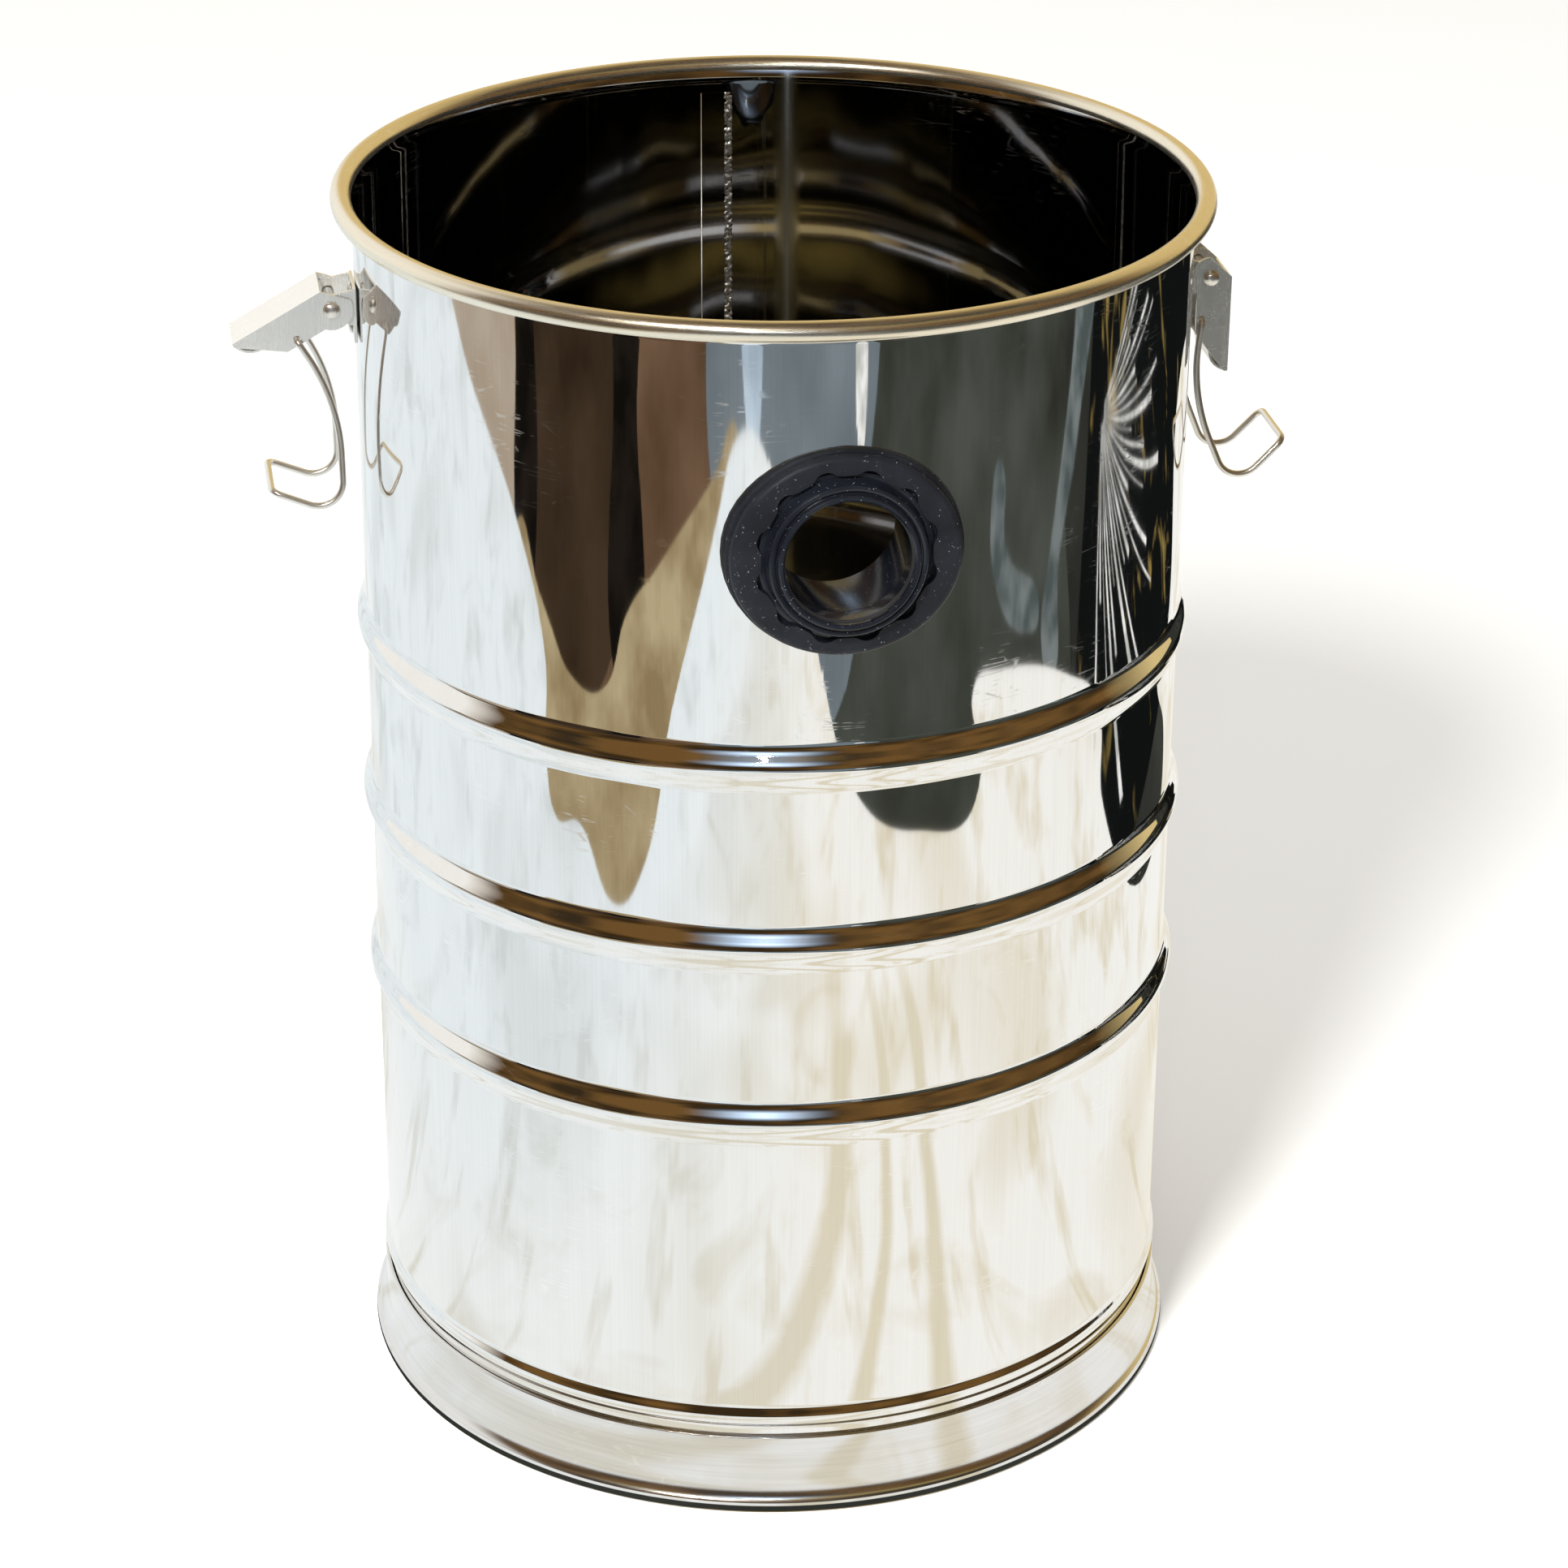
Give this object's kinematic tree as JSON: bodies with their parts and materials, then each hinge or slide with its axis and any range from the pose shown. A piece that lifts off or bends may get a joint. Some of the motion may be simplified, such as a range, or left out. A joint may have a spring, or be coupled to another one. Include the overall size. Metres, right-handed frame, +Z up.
{
  "type": "industrial vacuum collecting drum",
  "caption": "Open ribbed stainless drum with rolled rim, foot ring, round hose inlet in a moulded oval flange and two over-centre wire latches.",
  "frame": {"origin": "centre of the drum floor's top face, on the drum's axis", "axes": "+Z up along the drum's axis, -Y out of the hose inlet, -X towards the open latch and +X towards the closed one"},
  "size_m": [0.5244, 0.4361, 0.6319],
  "materials": {
    "polished_steel": "mirror-polished stainless sheet with a faint vertical grain",
    "satin_steel": "satin stainless",
    "bright_steel": "bright tumbled stainless",
    "black_plastic": "finely textured black moulding, glossy in the bore",
    "black_rubber": "smooth black rubber"
  },
  "bodies": {
    "drum": {"drum_shell": "polished_steel", "drum_floor": "polished_steel", "foot_ring": "satin_steel", "inlet_saddle": "black_plastic", "inlet_gasket": "black_rubber", "inlet_socket": "black_plastic", "hose_seal": "black_rubber", "inlet_wedge_ring": "black_rubber", "inlet_locknut": "black_plastic", "left_latch_bracket": "satin_steel", "left_upper_rivet": "bright_steel", "left_lower_rivet": "bright_steel", "left_pivot_rivet": "bright_steel", "right_latch_bracket": "satin_steel", "right_upper_rivet": "bright_steel", "right_lower_rivet": "bright_steel", "right_pivot_rivet": "bright_steel"},
    "left_lever": {"left_latch_lever": "bright_steel"},
    "left_hook": {"left_latch_hook": "bright_steel"},
    "right_lever": {"right_latch_lever": "bright_steel"},
    "right_hook": {"right_latch_hook": "bright_steel"}
  },
  "joints": [
    {"name": "left_lever_pivot", "type": "hinge", "parent": "drum", "child": "left_lever", "pos_m": [-0.2174, 0, 0.534], "axis": [0, 1, 0], "range_deg": [-60.5, 44.5]},
    {"name": "left_hook_swing", "type": "hinge", "parent": "left_lever", "child": "left_hook", "pos_m": [-0.23453, 0, 0.5196], "axis": [0, 1, 0], "range_deg": [-56, 76]},
    {"name": "right_lever_pivot", "type": "hinge", "parent": "drum", "child": "right_lever", "pos_m": [0.2174, 0, 0.529], "axis": [0, -1, 0], "range_deg": [0, 105]},
    {"name": "right_hook_swing", "type": "hinge", "parent": "right_lever", "child": "right_hook", "pos_m": [0.2133, 0, 0.507], "axis": [0, -1, 0], "range_deg": [-105, 0]}
  ],
  "couplings": [
    {"joint": "left_hook_swing", "follows": "left_lever_pivot", "ratio": -1.25},
    {"joint": "right_hook_swing", "follows": "right_lever_pivot", "ratio": -1}
  ]
}
